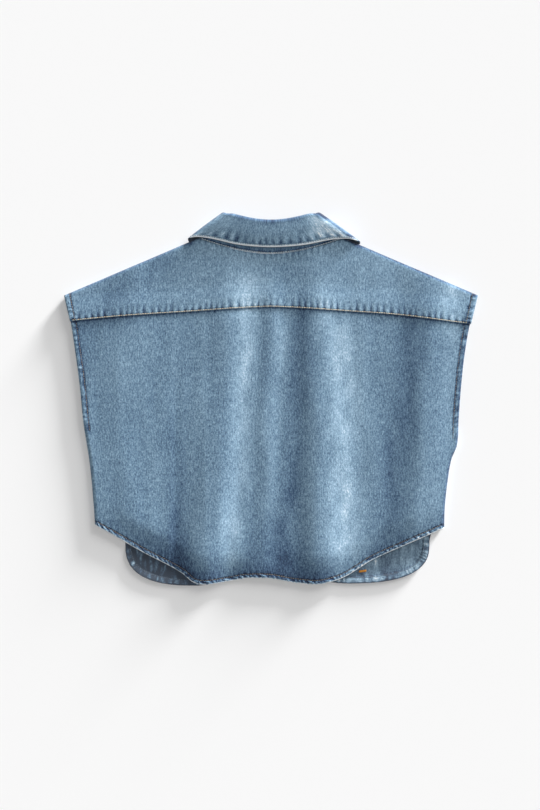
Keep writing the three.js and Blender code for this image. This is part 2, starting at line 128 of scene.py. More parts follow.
def curve(rows, column, at):
    # a smooth value from a table whose first column rises
    last = len(rows) - 1

    def slope(i):
        a, b = rows[max(0, i - 1)], rows[min(last, i + 1)]
        return (b[column] - a[column]) / (b[0] - a[0])

    i = 0
    while i < last - 1 and at > rows[i + 1][0]:
        i += 1
    span = rows[i + 1][0] - rows[i][0]
    t = clamp((at - rows[i][0]) / span)
    u = 1 - t
    ends = rows[i][column] * u * u * (1 + 2 * t) + rows[i + 1][column] * t * t * (1 + 2 * u)
    return ends + span * t * u * (slope(i) * u - slope(i + 1) * t)


# Shader building

class Wire:
    # a shader socket, which Python's operators join to others with Math nodes
    def __init__(self, socket):
        self.socket = socket

    def math(self, operation, *values):
        node = self.socket.id_data.nodes.new("ShaderNodeMath")
        node.operation = operation
        for slot, value in zip(node.inputs, values):
            join(slot, value)
        return Wire(node.outputs[0])

    def __add__(self, other):
        return self.math("ADD", self, other)

    def __sub__(self, other):
        return self.math("SUBTRACT", self, other)

    def __mul__(self, other):
        return self.math("MULTIPLY", self, other)

    def sine(self):
        return self.math("SINE", self)

    def held(self):
        return self.math("MINIMUM", self.math("MAXIMUM", self, 0.0), 1.0)

    __radd__ = __add__


def join(slot, value):
    if isinstance(value, Wire):
        slot.id_data.links.new(value.socket, slot)
    else:
        slot.default_value = value


class Finish:
    # one material and its nodes
    def __init__(self, name):
        self.material = bpy.data.materials.new(name)
        self.material.use_nodes = True
        self.tree = self.material.node_tree
        self.tree.nodes.clear()

    def add(self, kind, settings=None, sockets=None, out=0):
        node = self.tree.nodes.new(kind)
        for key, value in (settings or {}).items():
            if key == "stops":
                ramp = node.color_ramp
                while len(ramp.elements) < len(value):
                    ramp.elements.new(0.5)
                for element, (position, colour) in zip(ramp.elements, value):
                    element.position = position
                    element.color = colour
            else:
                setattr(node, key, value)
        for key, value in (sockets or {}).items():
            join(node.inputs[key], value)
        return Wire(node.outputs[out])

    def noise(self, vector, size, detail=2.0):
        scaled = self.add("ShaderNodeVectorMath", {"operation": "MULTIPLY"}, {0: vector, 1: size})
        return self.add("ShaderNodeTexNoise", None, {"Vector": scaled, "Scale": 1.0, "Detail": detail}) - 0.5

    def mixed(self, share, first, second):
        return self.add("ShaderNodeMix", {"data_type": "RGBA"}, {0: share, 6: first, 7: second}, out=2)

    def end(self, sockets):
        shader = self.add("ShaderNodeBsdfPrincipled", None, sockets)
        output = self.tree.nodes.new("ShaderNodeOutputMaterial")
        self.tree.links.new(shader.socket, output.inputs["Surface"])
        return self.material


def pieceFrom(name, bm, materials):
    # the finished mesh as an object in the scene
    mesh = bpy.data.meshes.new(name)
    bm.to_mesh(mesh)
    bm.free()
    for material in materials:
        mesh.materials.append(material)
    piece = bpy.data.objects.new(name, mesh)
    scene.collection.objects.link(piece)
    return piece


def srgb(red, green, blue):
    # a colour as read from a picture, made linear
    linear = [((c / 255 + 0.055) / 1.055) ** 2.4 if c > 10 else c / 255 / 12.92 for c in (red, green, blue)]
    return (*linear, 1.0)


denimFinish = {
    "stops": [
        (0.00, srgb(28, 44, 70)),
        (0.22, srgb(63, 89, 118)),
        (0.45, srgb(102, 131, 154)),
        (0.62, srgb(131, 161, 184)),
        (0.82, srgb(166, 193, 213)),
        (0.93, srgb(203, 220, 231)),
        (1.00, srgb(240, 244, 246)),
    ],
    "middle": 0.455,  # tone of plain washed cloth
    "wash": 0.29,  # how far a full step of fade and painted shade moves it
    "slub": 0.64,
    "grain": 0.70,
    "blotch": 0.14,
    "patch": 0.10,
    "twill": 0.035,
    "ribs": 0.0012,  # twill lines, metres apart
    "lean": 0.8,  # how steeply they climb
    "grey": srgb(104, 112, 116),  # what the inside fades towards
}


def denim(name, middle, grey=0.0):
    f = Finish(name)
    d = denimFinish
    cloth = f.add("ShaderNodeUVMap", {"uv_map": "cloth"})
    wash = f.add("ShaderNodeAttribute", {"attribute_name": "wash"}, out=2)
    slub = f.noise(cloth, (440, 140, 1), 3.0)
    grain = f.noise(cloth, (580, 380, 1), 2.0)
    blotch = f.noise(cloth, (95, 60, 1), 3.0)
    patch = f.noise(cloth, (26, 15, 1), 2.0)
    apart = f.add("ShaderNodeSeparateXYZ", None, {"Vector": cloth})
    across, up = (Wire(apart.socket.node.outputs[axis]) for axis in "XY")
    ribs = ((across + up * d["lean"]) * (2 * math.pi / d["ribs"])).sine()
    tone = middle + wash * d["wash"] + slub * d["slub"] + grain * d["grain"]
    tone = tone + blotch * d["blotch"] + patch * d["patch"] + ribs * d["twill"]
    colour = f.add("ShaderNodeValToRGB", {"stops": d["stops"]}, {"Fac": tone.held()})
    if grey:
        colour = f.mixed(grey, colour, d["grey"])
    height = ribs * 0.35 + slub * 1.2 + grain * 1.4
    bump = f.add("ShaderNodeBump", None, {"Height": height, "Strength": 0.30, "Distance": 0.0005})
    return f.end({
        "Base Color": colour, "Roughness": 0.88, "Normal": bump, "Specular IOR Level": 0.25,
        "Sheen Weight": 0.12, "Sheen Roughness": 0.6,
    })


def threadFinish(name, colour, dark):
    f = Finish(name)
    place = f.add("ShaderNodeTexCoord", out=3)
    dusty = f.noise(place, (260, 260, 260), 2.0) * 1.6 + 0.5
    shade = f.mixed(dusty.held(), colour, dark)
    twist = f.noise(place, (2600, 2600, 2600), 1.0)
    bump = f.add("ShaderNodeBump", None, {"Height": twist, "Strength": 0.4, "Distance": 0.0002})
    return f.end({"Base Color": shade, "Roughness": 0.6, "Normal": bump, "Specular IOR Level": 0.3})


outerDenim = denim("washed_denim", denimFinish["middle"])
innerDenim = denim("denim_inside", 0.40, 0.28)
# a darker copy of the inside, for the left front's tail: painted shade where the back's hem shades it
shadedDenim = denim("denim_inside_shaded", 0.20, 0.35)
tanThread = threadFinish("tan_thread", srgb(212, 200, 172), srgb(176, 160, 132))
brownThread = threadFinish("brown_thread", srgb(142, 130, 108), srgb(82, 84, 88))
paleThread = threadFinish("pale_thread", srgb(222, 226, 224), srgb(176, 190, 198))
slateThread = threadFinish("slate_thread", srgb(122, 136, 146), srgb(58, 72, 88))
goldThread = threadFinish("gold_thread", srgb(226, 180, 84), srgb(186, 104, 30))
print("finishes made")


# Outline and heights, as in the frame's solids

edgeTurn = 4.5  # radius of a folded side
foldArc = math.pi * edgeTurn
solid = {"ply": 1.1, "doubled": 2.2, "gap": 0.3, "bodyTop": 10.0, "neckTop": 11.2}
backRim = {"top": 6.0, "fall": 42, "middleUp": 3.6, "sidesUp": 3.2}  # height at the back hem
stepUp = solid["ply"] + solid["gap"]
onLeaf = solid["doubled"] + solid["gap"]
cloth = {"ply": 0.95, "hem": 2.1}  # thickness of a single layer, and of a hem or band

# y, then the silhouette's left and right x
sides = [
    (-176, -239.6, 236.0), (-149, -241.4, 236.8), (-116, -244.1, 240.2),
    (-84, -247.6, 245.6), (-63, -251.0, 253.6), (-30, -255.8, 255.4),
    (14, -260.0, 258.6), (60, -266.0, 263.6), (107, -273.2, 271.8),
    (142, -281.0, 281.0),
]
# x, y
backHem = [
    (-240, -173), (-215, -186.5), (-175, -209.5), (-140, -227.5), (-121, -238.5),
    (-106, -250.5), (-90, -253.6), (-62, -250.2), (-34, -245.4), (0, -245.4),
    (26, -250.2), (60, -253.4), (78, -251.0), (100, -243.6), (118, -233),
    (139, -219.8), (177, -202.5), (215, -186), (236, -176.5),
]
hemCorner = {-1: -173, 1: -176.5}
neckPoint = Vector((100, 217.6))
shoulderTip = Vector((281, 140.5))
shoulderRun = (shoulderTip - neckPoint).normalized()
shoulderOut = Vector((-shoulderRun.y, shoulderRun.x))
seamLap = 9  # of the yoke over the back
yokeSeam = {"middle": 125, "drop": 19.5, "half": 271, "sideY": 107}
neckSeam = {"middle": 196.3, "rise": 21.3, "half": 100}
yokeHalfWide = 281
sideOpens = (-62, -22)  # y where the folded side becomes the armhole

# crest x at four levels, height at four levels, width to the left and right
foldLevels = (200, 115, -60, -245)
folds = [
    ((60, 64, 69, 64), (0.6, 2.8, 4.6, 5.0), 38, 52),
    ((205, 216, 207, 178), (0.8, 2.8, 3.0, 1.2), 44, 46),
    ((-50, -56, -68, -88), (0.5, 2.4, 3.4, 5.0), 52, 34),
    ((0, 3, -5, -10), (0, 1.2, 1.2, 0.6), 20, 20),
    ((-180, -192, -197, -178), (0.4, 1.0, 1.4, 1.2), 46, 42),
    ((-128, -129, -130, -131), (0, 0, -0.6, -0.7), 9, 12),
]


def sideX(y, hand):
    return curve(sides, 1 if hand < 0 else 2, y)


def hemY(x):
    return curve(backHem, 1, x)


def yokeY(x):
    sag = 0.8 + 1.8 * bell(abs(x) - 105, 80) + 4 * smooth(140, yokeSeam["half"], x)
    return yokeSeam["middle"] - yokeSeam["drop"] * (abs(x) / yokeSeam["half"]) ** 1.5 - sag


def neckY(x):
    return neckSeam["middle"] + neckSeam["rise"] * (abs(x) / neckSeam["half"]) ** 1.75


def closed(y):
    return 1 - smooth(*sideOpens, y)


def pastShoulder(x, y):
    return (Vector((abs(x), y)) - neckPoint).dot(shoulderOut)


def foldHeight(x, y):
    row = 0
    while row < len(foldLevels) - 2 and y < foldLevels[row + 1]:
        row += 1
    t = smooth(foldLevels[row], foldLevels[row + 1], y)
    total = 0.0
    for at, high, left, right in folds:
        off = x - lerp(at[row], at[row + 1], t)
        total += lerp(high[row], high[row + 1], t) * hump(off / (left if off < 0 else right))
    return total


def backZ(x, y):
    low = backRim["top"] + backRim["middleUp"] * (1 - smooth(16, 60, abs(x)))
    low += backRim["sidesUp"] * smooth(165, 228, abs(x))
    toNeck = smooth(130, 205, y) * (1 - smooth(80, 170, abs(x)))
    high = lerp(solid["bodyTop"], solid["neckTop"], toNeck)
    return lerp(low, high, smooth(0, backRim["fall"], y - hemY(x))) + foldHeight(x, y)


leafSlope = 45  # how far from the collar the front cloth starts to rise over its points


def leafLift(x, y):
    point, front = Vector((58, 103)), Vector((10, 163))
    cross = Vector((118.5 if x > 0 else 113, 210))
    p = Vector((abs(x), y)) - point
    sideRun = (cross - point).normalized()
    frontRun = (front - point).normalized()
    inSide = -p.x * sideRun.y + p.y * sideRun.x
    inFront = p.x * frontRun.y - p.y * frontRun.x
    return onLeaf * smooth(-leafSlope, 0, min(inSide, inFront) + 5)


buttonAt = {"stand": 145, "first": 96, "pitch": 66, "count": 5}
buttonRows = [buttonAt["first"] - buttonAt["pitch"] * i for i in range(buttonAt["count"])]
dome = {"high": 2.9, "flat": 11, "reach": 22}  # cloth over a button


def buttonLift(x, y):
    near = min(math.hypot(x, y - row) for row in buttonRows)
    return dome["high"] * (1 - smooth(dome["flat"], dome["reach"], near))


def frontLift(x, y):
    return (leafLift(x, y) ** 4 + buttonLift(x, y) ** 4) ** 0.25


# Fades of the wash, together with painted light and shade on the folds: y, x and paleness down each band,
# then its half width
fadesAndShades = [
    ([(-245, 105, 0.35), (-199, 103, 0.8), (-124, 101, 0.74), (-84, 99, 0.45), (-43, 98, 0.6),
      (12, 97, 0.72), (66, 92, 0.72), (114, 82, 0.5), (150, 72, 0.1)], 34),
    ([(-250, -62, 0.4), (-220, -56, 0.55), (-165, -50, 0.6), (-111, -43, 0.55), (-77, -42, 0.35),
      (-43, -43, 0.5), (-2, -40, 0.55), (73, -34, 0.6), (120, -32, 0.5), (150, -32, 0.2)], 21),
    ([(-160, -8, 0.1), (-97, -4, 0.25), (25, 8, 0.35), (120, 16, 0.3)], 17),
    ([(-215, 26, -0.25), (-138, 26, -0.42), (-70, 33, -0.45), (-2, 39, -0.4), (73, 40, -0.35),
      (134, 44, -0.2), (160, 46, 0)], 23),
    ([(-2, -12, -0.15), (107, -4, -0.2)], 13),
    ([(-210, 175, -0.15), (-138, 165, -0.22), (-84, 166, -0.3), (-43, 175, -0.35), (-2, 182, -0.35),
      (66, 192, -0.42), (120, 200, -0.28), (150, 204, -0.1)], 32),
    ([(-236, -131, 0.15), (-205, -130, -0.3), (-152, -129, -0.62), (-97, -130, -0.32),
      (-29, -131, -0.1), (10, -132, 0)], 15),
    ([(-100, -147, 0), (-63, -147, -0.2), (-20, -147, 0)], 28),
    ([(-60, 250, 0.1), (40, 247, 0.3), (110, 240, 0.45), (150, 250, 0.8)], 22),
    ([(105, -215, -0.25), (150, -200, -0.35), (190, -150, -0.3)], 60),
    ([(-190, 215, 0.15), (-120, 225, 0.12)], 26),
    ([(150, 175, 0.2), (180, 175, 0.3)], 34),
    ([(125, -35, 0.2), (150, -33, 0.35), (175, -30, 0.1)], 42),
    ([(-190, -185, -0.12), (-100, -195, 0.0), (40, -200, 0.12), (90, -205, 0.1)], 34),
    ([(-228, 6, -0.15), (-205, 6, -0.34), (-172, 6, -0.26), (-150, 6, 0)], 42),
    ([(40, -250, -0.15), (85, -256, -0.25), (110, -258, -0.1)], 20),
]
fadeEase = 25  # how far a band fades out past its ends


# paleness from the bands: wash fades, with painted light on ridges and painted shade in troughs
def fadeAndShadeAt(x, y):
    total = 0.0
    for rows, wide in fadesAndShades:
        low, high = rows[0][0], rows[-1][0]
        inside = smooth(low - fadeEase, low, y) * (1 - smooth(high, high + fadeEase, y))
        if inside > 0:
            total += inside * curve(rows, 2, y) * hump((x - curve(rows, 1, y)) / wide / 1.25)
    return total * (1 + 0.9 * ripple(x / 13, y / 26, 31))


drape = {"tall": 1.1, "fine": 0.35, "tallWear": 0.18, "fineWear": 0.16}


def drapeAt(x, y):
    # small loose waves of the cloth, and the wear on them
    tall = ripple(x / 44, y / 190, 1)
    fine = ripple(x / 15, y / 80, 2)
    wear = drape["tallWear"] * tall + drape["fineWear"] * fine
    return drape["tall"] * tall + drape["fine"] * fine, wear


def puckers(along, away, seam):
    # gathers of cloth that a shrunken seam pulls in: height and paleness
    if away < -0.5 or away > 2.4 * seam["reach"]:
        return 0.0, 0.0
    beat = along / seam["pitch"] + 0.6 * noise.noise((along * 0.03, seam["seed"], 0.5))
    strong = 0.75 + 0.75 * noise.noise((math.floor(beat) * 1.7, seam["seed"], 3.1))
    reach = seam["reach"] * (0.8 + 0.5 * noise.noise((math.floor(beat) * 2.3, seam["seed"], 5.7)))
    crest = math.sin(2 * math.pi * beat)
    wave = crest * strong * bell(away, reach)
    valley = max(0.0, -crest) ** 2 * strong * bell(away, 0.75 * reach)
    return seam["high"] * wave, seam["wear"] * wave - seam["dark"] * valley


def roped(along, away, hem):
    # the twisted ridges of a turned hem: height and paleness
    if away > hem["wide"] + 1.5:
        return 0.0, 0.0
    uneven = 1.1 * noise.noise((along * 0.06, hem["seed"], 0.5))
    beat = (along + hem["slant"] * away) / hem["pitch"] + uneven
    strong = 0.75 + 1.2 * noise.noise((math.floor(beat) * 1.9, hem["seed"], 2.2))
    across = math.sin(math.pi * clamp(away / hem["wide"]))
    wave = math.sin(2 * math.pi * beat) * strong
    height = hem["high"] * wave * across + hem["body"] * across
    groove = bell(away - hem["wide"], 1.15)
    wear = hem["wear"] * wave * (0.35 + 0.65 * across)
    rim = 0.85 + 0.8 * noise.noise((along * 0.35, hem["seed"], 8.8))
    wear += hem["edge"] * rim * bell(away - 0.3, 0.85) - hem["line"] * groove
    wear += hem["specks"] * noise.noise((along * 0.7, away * 0.9, hem["seed"]))
    return height - 0.35 * groove, wear


def hemmed(along, away, roll, pull):
    # a turned hem and the gathers inside it
    height, wear = roped(along, away, roll)
    lift, worn = puckers(along, away - roll["wide"], pull)
    return height + lift, wear + worn


def rounded(away, radius=0.9):
    # how far the rim of a hem rolls down
    t = clamp(1 - away / radius)
    return radius * (1 - math.sqrt(1 - t * t))


# Cloth pieces: a grid whose points are put where place(column, row) says, given a wall's thickness

def layCloth(name, columns, rows, place, node, facing, materials=()):
    bm = bmesh.new()
    bmesh.ops.create_grid(bm, x_segments=len(columns) - 1, y_segments=len(rows) - 1, size=1)
    # each point's paleness: wear and wash fades, with painted light and shade
    washAndShadeLayer = bm.verts.layers.float.new("wash")
    hemLayer = bm.verts.layers.deform.verify()
    cut = bm.loops.layers.uv.new("cloth")
    flat = {}
    probe = max(bm.faces, key=lambda face: face.calc_center_median().y - abs(face.calc_center_median().x))
    for vertex in bm.verts:
        column = columns[round((vertex.co.x + 1) / 2 * (len(columns) - 1))]
        row = rows[round((vertex.co.y + 1) / 2 * (len(rows) - 1))]
        at, flatAt, wash, thick = place(column, row)
        vertex.co = at * mm
        vertex[washAndShadeLayer] = wash
        vertex[hemLayer][0] = clamp(thick)
        flat[vertex] = flatAt * mm
    for face in bm.faces:
        face.smooth = True
        for loop in face.loops:
            loop[cut].uv = flat[loop.vert]
    bm.normal_update()
    if probe.normal.z * facing < 0:  # the last row's middle tells which way the outside faces
        bmesh.ops.reverse_faces(bm, faces=bm.faces)
    piece = pieceFrom(name, bm, materials or (outerDenim, innerDenim))
    piece.vertex_groups.new(name="hem")
    wall = piece.modifiers.new("wall", "SOLIDIFY")
    wall.thickness = cloth["hem"] * mm
    wall.offset = -1
    wall.vertex_group = "hem"
    wall.thickness_vertex_group = cloth["ply"] / cloth["hem"]
    wall.material_offset = 1
    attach(piece, "root")
    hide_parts(node)
    print(name, "laid,", len(columns) * len(rows), "points")
    return piece


# Rows across the hem, by distance from its edge, and the turned columns at each side
hemRows = [0, 0.3, 0.7, 1.2, 1.9, 2.7, 3.6, 4.4, 5.0, 5.4, 5.8, 6.3, 7.0, 7.6, 8.4, 9.6]
turns = [90, 75, 60, 45, 30, 15]
across = [(0.0, turn) for turn in turns] + [(share, 0) for share in steps(290)]
across += [(1.0, turn) for turn in turns[::-1]]

yokeSeamBelow = {"pitch": 8.2, "reach": 5.0, "high": 0.16, "wear": 0.22, "dark": 0.1, "seed": 11}
yokeSeamAbove = {"pitch": 9.0, "reach": 12, "high": 0.42, "wear": 0.68, "dark": 1.3, "seed": 12}
backHemRoll = {
    "wide": 5.6, "pitch": 7.4, "slant": 0.9, "high": 0.5, "body": 0.3,
    "wear": 1.5, "edge": 4.9, "line": 1.3, "specks": 2.1, "seed": 13,
}
backHemPull = {"pitch": 7.4, "reach": 6.5, "high": 0.25, "wear": 0.28, "dark": 0.25, "seed": 13}
armholeRoll = {
    "wide": 7.2, "pitch": 9.0, "slant": 0.15, "high": 0.35, "body": 0.3,
    "wear": 0.7, "edge": 0.3, "line": 1.7, "specks": 1.2, "seed": 14,
}
armholePull = {"pitch": 9.0, "reach": 5.0, "high": 0.15, "wear": 0.2, "dark": 0.1, "seed": 14}


def armholeEdge(x, y):
    # height and paleness near the armhole's turned edge
    hand = -1 if x < 0 else 1
    away = abs(sideX(y, hand)) - abs(x)
    opened = smooth(-52, -40, y)
    if opened == 0 or away > 18:
        return 0.0, 0.0
    height, wear = hemmed(y + 400 + 130 * hand, away, armholeRoll, armholePull)
    return opened * height, opened * wear


def backTop(x, y):
    # the back panel's outer face: height, paleness and distance from the hem
    slope = (hemY(x + 2) - hemY(x - 2)) / 4
    lean = 1 / math.hypot(1, slope)
    fromHem = (y - hemY(x)) * lean
    belowSeam = yokeY(x) - y
    free = smooth(2, 30, fromHem) * smooth(-4, 14, belowSeam)
    wave, worn = drapeAt(x, y)
    pale = fadeAndShadeAt(x, y) + worn
    height = backZ(x, y) + free * wave
    deep = smooth(62, 0, fromHem) * smooth(-205, -120, x) * (1 - smooth(70, 130, x))
    pale -= 0.72 * deep + 0.34 * smooth(26, 4, fromHem)
    hem = hemmed(x / lean + 700, fromHem, backHemRoll, backHemPull)
    lift, wear = puckers(x + 600, belowSeam, yokeSeamBelow)
    height += hem[0] + (min(0.15, lift) if belowSeam < 3 else lift)
    # painted shadow: a dark line under the yoke's folded edge
    pale += hem[1] + wear - 1.3 * bell(belowSeam, 1.5) - 0.2 * bell(belowSeam, 5)
    edge = armholeEdge(x, y)
    height += edge[0] - rounded(fromHem)
    return height, pale + edge[1], fromHem


def backPlace(column, row):
    share, turn = column
    hand = -1 if share < 0.5 else 1
    lean = math.sin(math.radians(turn))
    level = math.cos(math.radians(turn))

    def knee(v, side):
        y = lerp(hemCorner[side], yokeY(yokeSeam["half"] * side) + seamLap, v)
        return sideX(y, side) - side * edgeTurn

    def xAt(v):
        return lerp(knee(v, -1), knee(v, 1), share)

    foot = hemY(xAt(0) + hand * edgeTurn * lean)
    head = yokeY(xAt(1)) + seamLap
    fold = 1 / math.hypot(1, (hemY(xAt(0) + 2) - hemY(xAt(0) - 2)) / 4)
    kind, value = row
    if kind == "hem":
        v = value / fold / (head - foot)
    else:
        v = lerp(hemRows[-1] / fold / (head - foot), 1, value)
    y = lerp(foot, head, v)
    x = xAt(v)
    shut = closed(y)
    outX = x + hand * edgeTurn * lean
    top, pale, fromHem = backTop(outX, y)
    plain = backZ(x, y) if turn else top
    top = lerp(top, plain, shut)
    drop = lerp(0.5, plain / 2 - solid["gap"] / 2, shut)
    away = abs(sideX(y, hand)) - abs(outX)
    roll = (1 - shut) * rounded(away)
    hemShare = 1.0 if fromHem < backHemRoll["wide"] + 1 else 0.0
    if shut < 0.5 and away < armholeRoll["wide"] + 0.8:
        hemShare = 1.0
    # painted light on the left folded side and painted shade on the right one, where the lamps light it
    pale += (0.3 if hand < 0 else -0.3) * bell(away, 2.5) * (0.6 + ripple(y / 14, 3.3, hand)) * shut
    pale -= 1.2 * lean * (1 if hand > 0 else 0)
    at = Vector((outX, y, top - drop * (1 - level) - roll))
    return at, Vector((outX, y)), pale, hemShare


def hemThenUp(hem, up):
    return [("hem", value) for value in hem] + [("up", value) for value in up]


backRows = hemThenUp(hemRows, stretches((84, 0.93), (20, 1))[1:])
backPanel = layCloth("back_panel_cloth", across, backRows, backPlace, "back_panel", 1)


# Yoke, from its seam over the shoulders to the front

leafOut = Vector((0.65, 0.76))
yokePiece = {"flap": 24, "toNeck": 0.4, "toFlap": 0.46, "flapStart": 4.4}
neckSeamPull = {"pitch": 8.0, "reach": 9.5, "high": 0.25, "wear": 0.45, "dark": 0.35, "seed": 15}
kneeRow, kneeShare = 0.6, 0.86  # grid row at the shoulder's fold, and its greatest share of the length
flapEnd = foldArc + yokePiece["flap"] - 2 * edgeTurn
shoulderLength = (shoulderTip - neckPoint).length
foldDark = {-1: 0.75, 1: 1.8}  # how much darker the shoulder's fold is painted: painted shade that tones down the lamps' light on it
leafCorner = {-1: Vector((105, 214.5)), 1: Vector((112, 212))}  # where the collar shades the yoke


def yokeTop(x, y):
    fromSeam = y - yokeY(x)
    fromNeck = neckY(x) - y
    wave, worn = drapeAt(x, y)
    free = smooth(0, 18, fromSeam) * smooth(0, 14, fromNeck)
    height = backZ(x, y) + stepUp * (1 - smooth(10, 37, fromSeam)) + 0.7 * free * wave
    pale = fadeAndShadeAt(x, y) + worn + 0.12
    lift, wear = puckers(x + 600, fromSeam - 1.0, yokeSeamAbove)
    height += lift * smooth(0.2, 2.5, fromSeam) - 0.3 * bell(fromSeam - 1.4, 0.8) - rounded(fromSeam, 0.7)
    pale += wear + 0.55 * bell(fromSeam, 0.8) - 0.5 * bell(fromSeam - 2.9, 0.8)
    lift, wear = puckers(x + 200, fromNeck, neckSeamPull)
    near = smooth(104, 96, abs(x))
    height += near * lift
    pale += near * (wear - 0.2 * bell(fromNeck, 1.6) + 0.16 * bell(fromNeck - 8, 9))
    edge = armholeEdge(x, y) if y < sides[-1][0] else (0.0, 0.0)
    under = Vector((abs(x), y)) - leafCorner[1 if x > 0 else -1]
    # painted shadow on the yoke under the collar's leaf where it lifts over the shoulder
    gap = bell(under.dot(leafOut), 2.4) * bell(under.x * leafOut.y - under.y * leafOut.x, 9)
    return height + edge[0], pale + edge[1] - 2.4 * gap


def yokePlace(s, row):
    size, hand = abs(s), (-1 if s < 0 else 1)
    toNeck, toFlap = yokePiece["toNeck"], yokePiece["toFlap"]

    def flapPoint(run):
        return neckPoint + shoulderRun * run + shoulderOut * flapEnd

    if size <= toNeck:
        x = neckPoint.x * size / toNeck
        end = Vector((x, neckY(x)))
    elif size <= toFlap:
        end = neckPoint.lerp(flapPoint(yokePiece["flapStart"]), (size - toNeck) / (toFlap - toNeck))
    else:
        along = (size - toFlap) / (1 - toFlap)
        end = flapPoint(lerp(yokePiece["flapStart"], shoulderLength - 4, along))
    seamX = abs(sideX(yokeSeam["sideY"], hand)) * size ** 0.98
    start = Vector((seamX, yokeY(hand * seamX)))
    past = pastShoulder(end.x, end.y) + edgeTurn
    pastStart = pastShoulder(start.x, start.y) + edgeTurn
    knee = min(kneeShare, -pastStart / (past - pastStart)) if past > 0 else kneeShare
    share = row / kneeRow * knee if row <= kneeRow else lerp(knee, 1, (row - kneeRow) / (1 - kneeRow))
    p = start.lerp(end, share)
    return shoulderFold(hand * max(p.x, 1e-6), p.y, size)


def shoulderFold(x, y, size):
    hand = -1 if x < 0 else 1
    off = Vector((abs(x), y)) - neckPoint
    run, q = off.dot(shoulderRun), off.dot(shoulderOut) + edgeTurn

    def placed(out):
        return neckPoint + shoulderRun * run + shoulderOut * (out - edgeTurn)

    flat = Vector((x, y))
    fromSide = (1 - size) * yokeHalfWide
    hem = 1.0 if fromSide < armholeRoll["wide"] + 0.6 and abs(x) > 200 else 0.0
    if q <= 0:
        top, pale = yokeTop(x, y)
        return Vector((x, y, top)), flat, pale, hem
    knee = placed(0)
    top, pale = yokeTop(hand * knee.x, knee.y)
    pale += 0.25 * smooth(0, edgeTurn, q) * (0.2 + ripple(run / 18, 2.2, 4))
    # painted shade along the shoulder's fold
    pale -= foldDark[hand] * math.sin(min(q / edgeTurn, math.pi))
    if q >= foldArc:
        p = placed(foldArc - q)
        toSeam = flapEnd + edgeTurn - q
        lift, wear = puckers(run + 90, toSeam, neckSeamPull)
        z = leafLift(hand * p.x, p.y) + max(0.0, lift)
        wear += ripple(x / 30, y / 60, 6) * 0.3
        return Vector((hand * p.x, p.y, z)), flat, wear, hem
    turn = q / edgeTurn
    p = placed(edgeTurn * math.sin(turn))
    bottom = leafLift(hand * knee.x, knee.y)
    z = (top + bottom) / 2 + (top - bottom) / 2 * math.cos(turn)
    return Vector((hand * p.x, p.y, z)), flat, pale, hem


yokeHalf = stretches((60, yokePiece["toNeck"]), (10, yokePiece["toFlap"]), (80, 1))
yokeColumns = [-s for s in yokeHalf[:0:-1]] + yokeHalf
yokeRows = stretches((22, 0.16), (28, kneeRow), (26, 1))
backYoke = layCloth("back_yoke_cloth", yokeColumns, yokeRows, yokePlace, "back_yoke", 1)


# Fronts. Their outer face lies down, so what shows is the inside of the tails.

bandHalf = 16
bandTop = 127.7
bandSide = bandHalf + 0.3
tails = {-1: {"flank": 198.5, "low": -255.2}, 1: {"flank": 215.8, "low": -252.2}}
tail = {"flankTop": -199, "lowAt": 104, "square": 2.6, "middle": -242.5, "curl": 2.6}
cornerEnd, roundEnd = 0.14, 0.56  # shares of the hem where its side corner and its round end
frontNeck = {"wide": 78.4, "high": 203, "deep": 75, "from": 0.6}
frontHemRoll = {
    "wide": 8.4, "pitch": 7.0, "slant": 0.1, "high": 0.35, "body": 0.1,
    "wear": 1.1, "edge": -2.8, "line": 0.9, "specks": 1.3, "seed": 16,
}
frontHemPull = {"pitch": 7.0, "reach": 5.0, "high": 0.2, "wear": 0.25, "dark": 0.1, "seed": 16}
frontHemRows = [0, 0.4, 0.9, 1.6, 2.6, 3.8, 5.0, 6.2, 7.2, 7.9, 8.3, 8.7, 9.4, 10.4, 12.0]


def frontHem(u, hand):
    flank, low = tails[hand]["flank"], tails[hand]["low"]
    knee = abs(sideX(hemCorner[hand], hand)) - edgeTurn
    if u < cornerEnd:
        a = u / cornerEnd * math.pi / 2
        drop = (1 - math.cos(a)) ** 1.1
        return Vector((lerp(knee, flank, math.sin(a) ** 0.9), lerp(hemCorner[hand], tail["flankTop"], drop)))
    if u < roundEnd:
        a = (u - cornerEnd) / (roundEnd - cornerEnd) * math.pi / 2
        power = 2 / tail["square"]
        x = lerp(tail["lowAt"], flank, max(0.0, math.cos(a)) ** power)
        return Vector((x, lerp(tail["flankTop"], low, math.sin(a) ** power)))
    t = (u - roundEnd) / (1 - roundEnd)
    return Vector((lerp(tail["lowAt"], bandSide, t), lerp(low, tail["middle"], smooth(0, 1, t))))


def frontEdge(u, hand, away):
    # a point that far inside the hem
    a, b = frontHem(max(0.0, u - 0.004), hand), frontHem(min(1.0, u + 0.004), hand)
    run = (b - a).normalized()
    inward = Vector((run.y, -run.x))
    straight = max(1 - smooth(0, 0.035, u), smooth(0.97, 1, u))
    inward = inward.lerp(Vector((0, 1)), straight).normalized()
    return frontHem(u, hand) + inward * away


def frontTop(u):
    knee = shoulderTip + shoulderOut * (seamLap - yokePiece["flap"]) - shoulderRun * (4 + edgeTurn)
    corner = Vector((bandSide + frontNeck["wide"], frontNeck["high"]))
    if u < frontNeck["from"]:
        rest = max(0.0, (u - cornerEnd) / (frontNeck["from"] - cornerEnd))
        return knee.lerp(corner, 0.53 * min(1.0, u / cornerEnd) + 0.47 * rest)
    a = (u - frontNeck["from"]) / (1 - frontNeck["from"]) * math.pi / 2
    x = bandSide + frontNeck["wide"] * math.cos(a)
    return Vector((x, frontNeck["high"] - frontNeck["deep"] * math.sin(a)))


hemParts = 400
fanOut = 200  # keeps the rows apart up the flank


